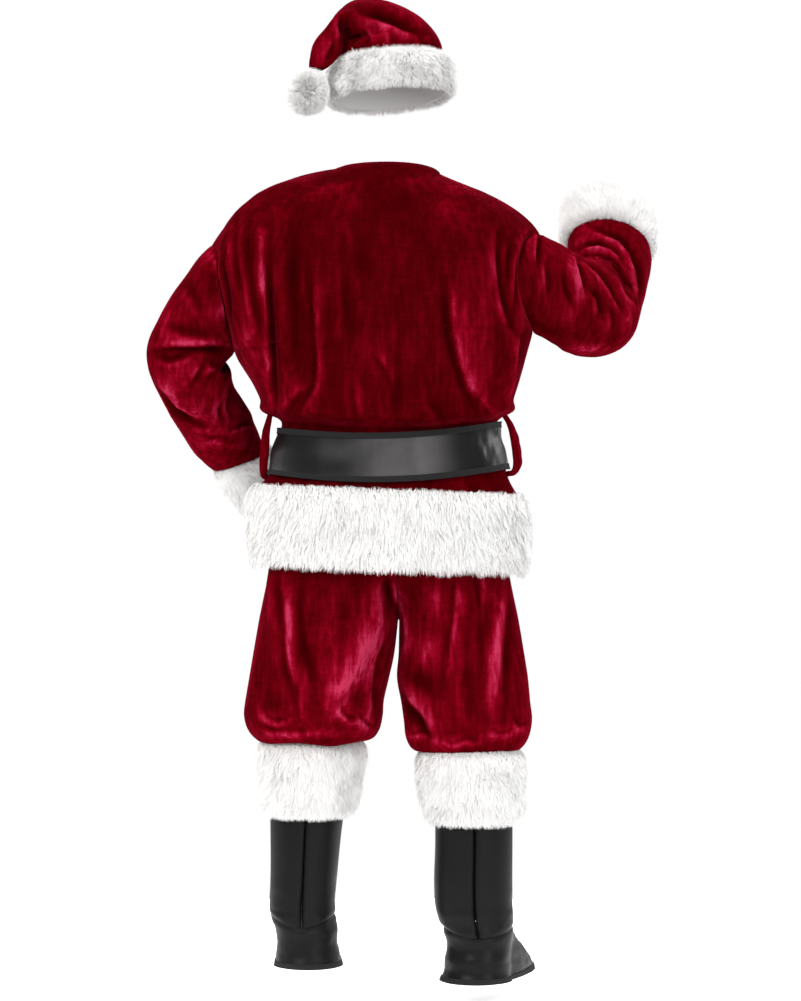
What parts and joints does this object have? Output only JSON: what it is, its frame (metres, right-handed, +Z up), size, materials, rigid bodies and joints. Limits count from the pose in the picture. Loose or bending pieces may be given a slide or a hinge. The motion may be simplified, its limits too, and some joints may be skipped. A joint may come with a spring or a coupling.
{
  "type": "santa suit",
  "caption": "Worn Santa suit seen in its pose: plush jacket with fur trim and belt, knee breeches, fur-topped boot covers and a folded hat with a pompom.",
  "frame": {"origin": "middle of the jacket's neck opening, between the shoulder seams", "axes": "+Z up along the wearer, +Y the way the wearer faces, -X the wearer's left"},
  "size_m": [0.9645, 0.5558, 1.8147],
  "materials": {
    "red_plush": "crushed velvet plush",
    "white_fur": "long soft pile",
    "black_vinyl": "soft shiny vinyl",
    "black_tape": "dull woven tape",
    "plain_metal": "satin"
  },
  "bodies": {
    "root": {"jacket_back_left": "red_plush", "jacket_back_right": "red_plush", "jacket_front_left": "red_plush", "jacket_front_right": "red_plush", "sleeve_left_upper": "red_plush", "sleeve_left_lower": "red_plush", "sleeve_right_upper": "red_plush", "sleeve_right_lower": "red_plush", "cuff_fur_left": "white_fur", "cuff_fur_right": "white_fur", "hem_fur": "white_fur", "belt_loop_left": "red_plush", "belt_loop_right": "red_plush", "belt_strap": "black_vinyl", "belt_binding_top": "black_tape", "belt_binding_bottom": "black_tape", "belt_buckle": "plain_metal", "leg_back_left": "red_plush", "leg_front_left": "red_plush", "leg_back_right": "red_plush", "leg_front_right": "red_plush", "waistband": "red_plush", "boot_shaft_left": "black_vinyl", "boot_shaft_right": "black_vinyl", "boot_foot_left": "black_vinyl", "boot_foot_right": "black_vinyl", "boot_tape_left": "black_tape", "boot_tape_right": "black_tape", "boot_fur_left": "white_fur", "boot_fur_right": "white_fur", "hat_crown": "red_plush", "hat_band_fur": "white_fur", "hat_pompom": "white_fur"}
  },
  "joints": []
}
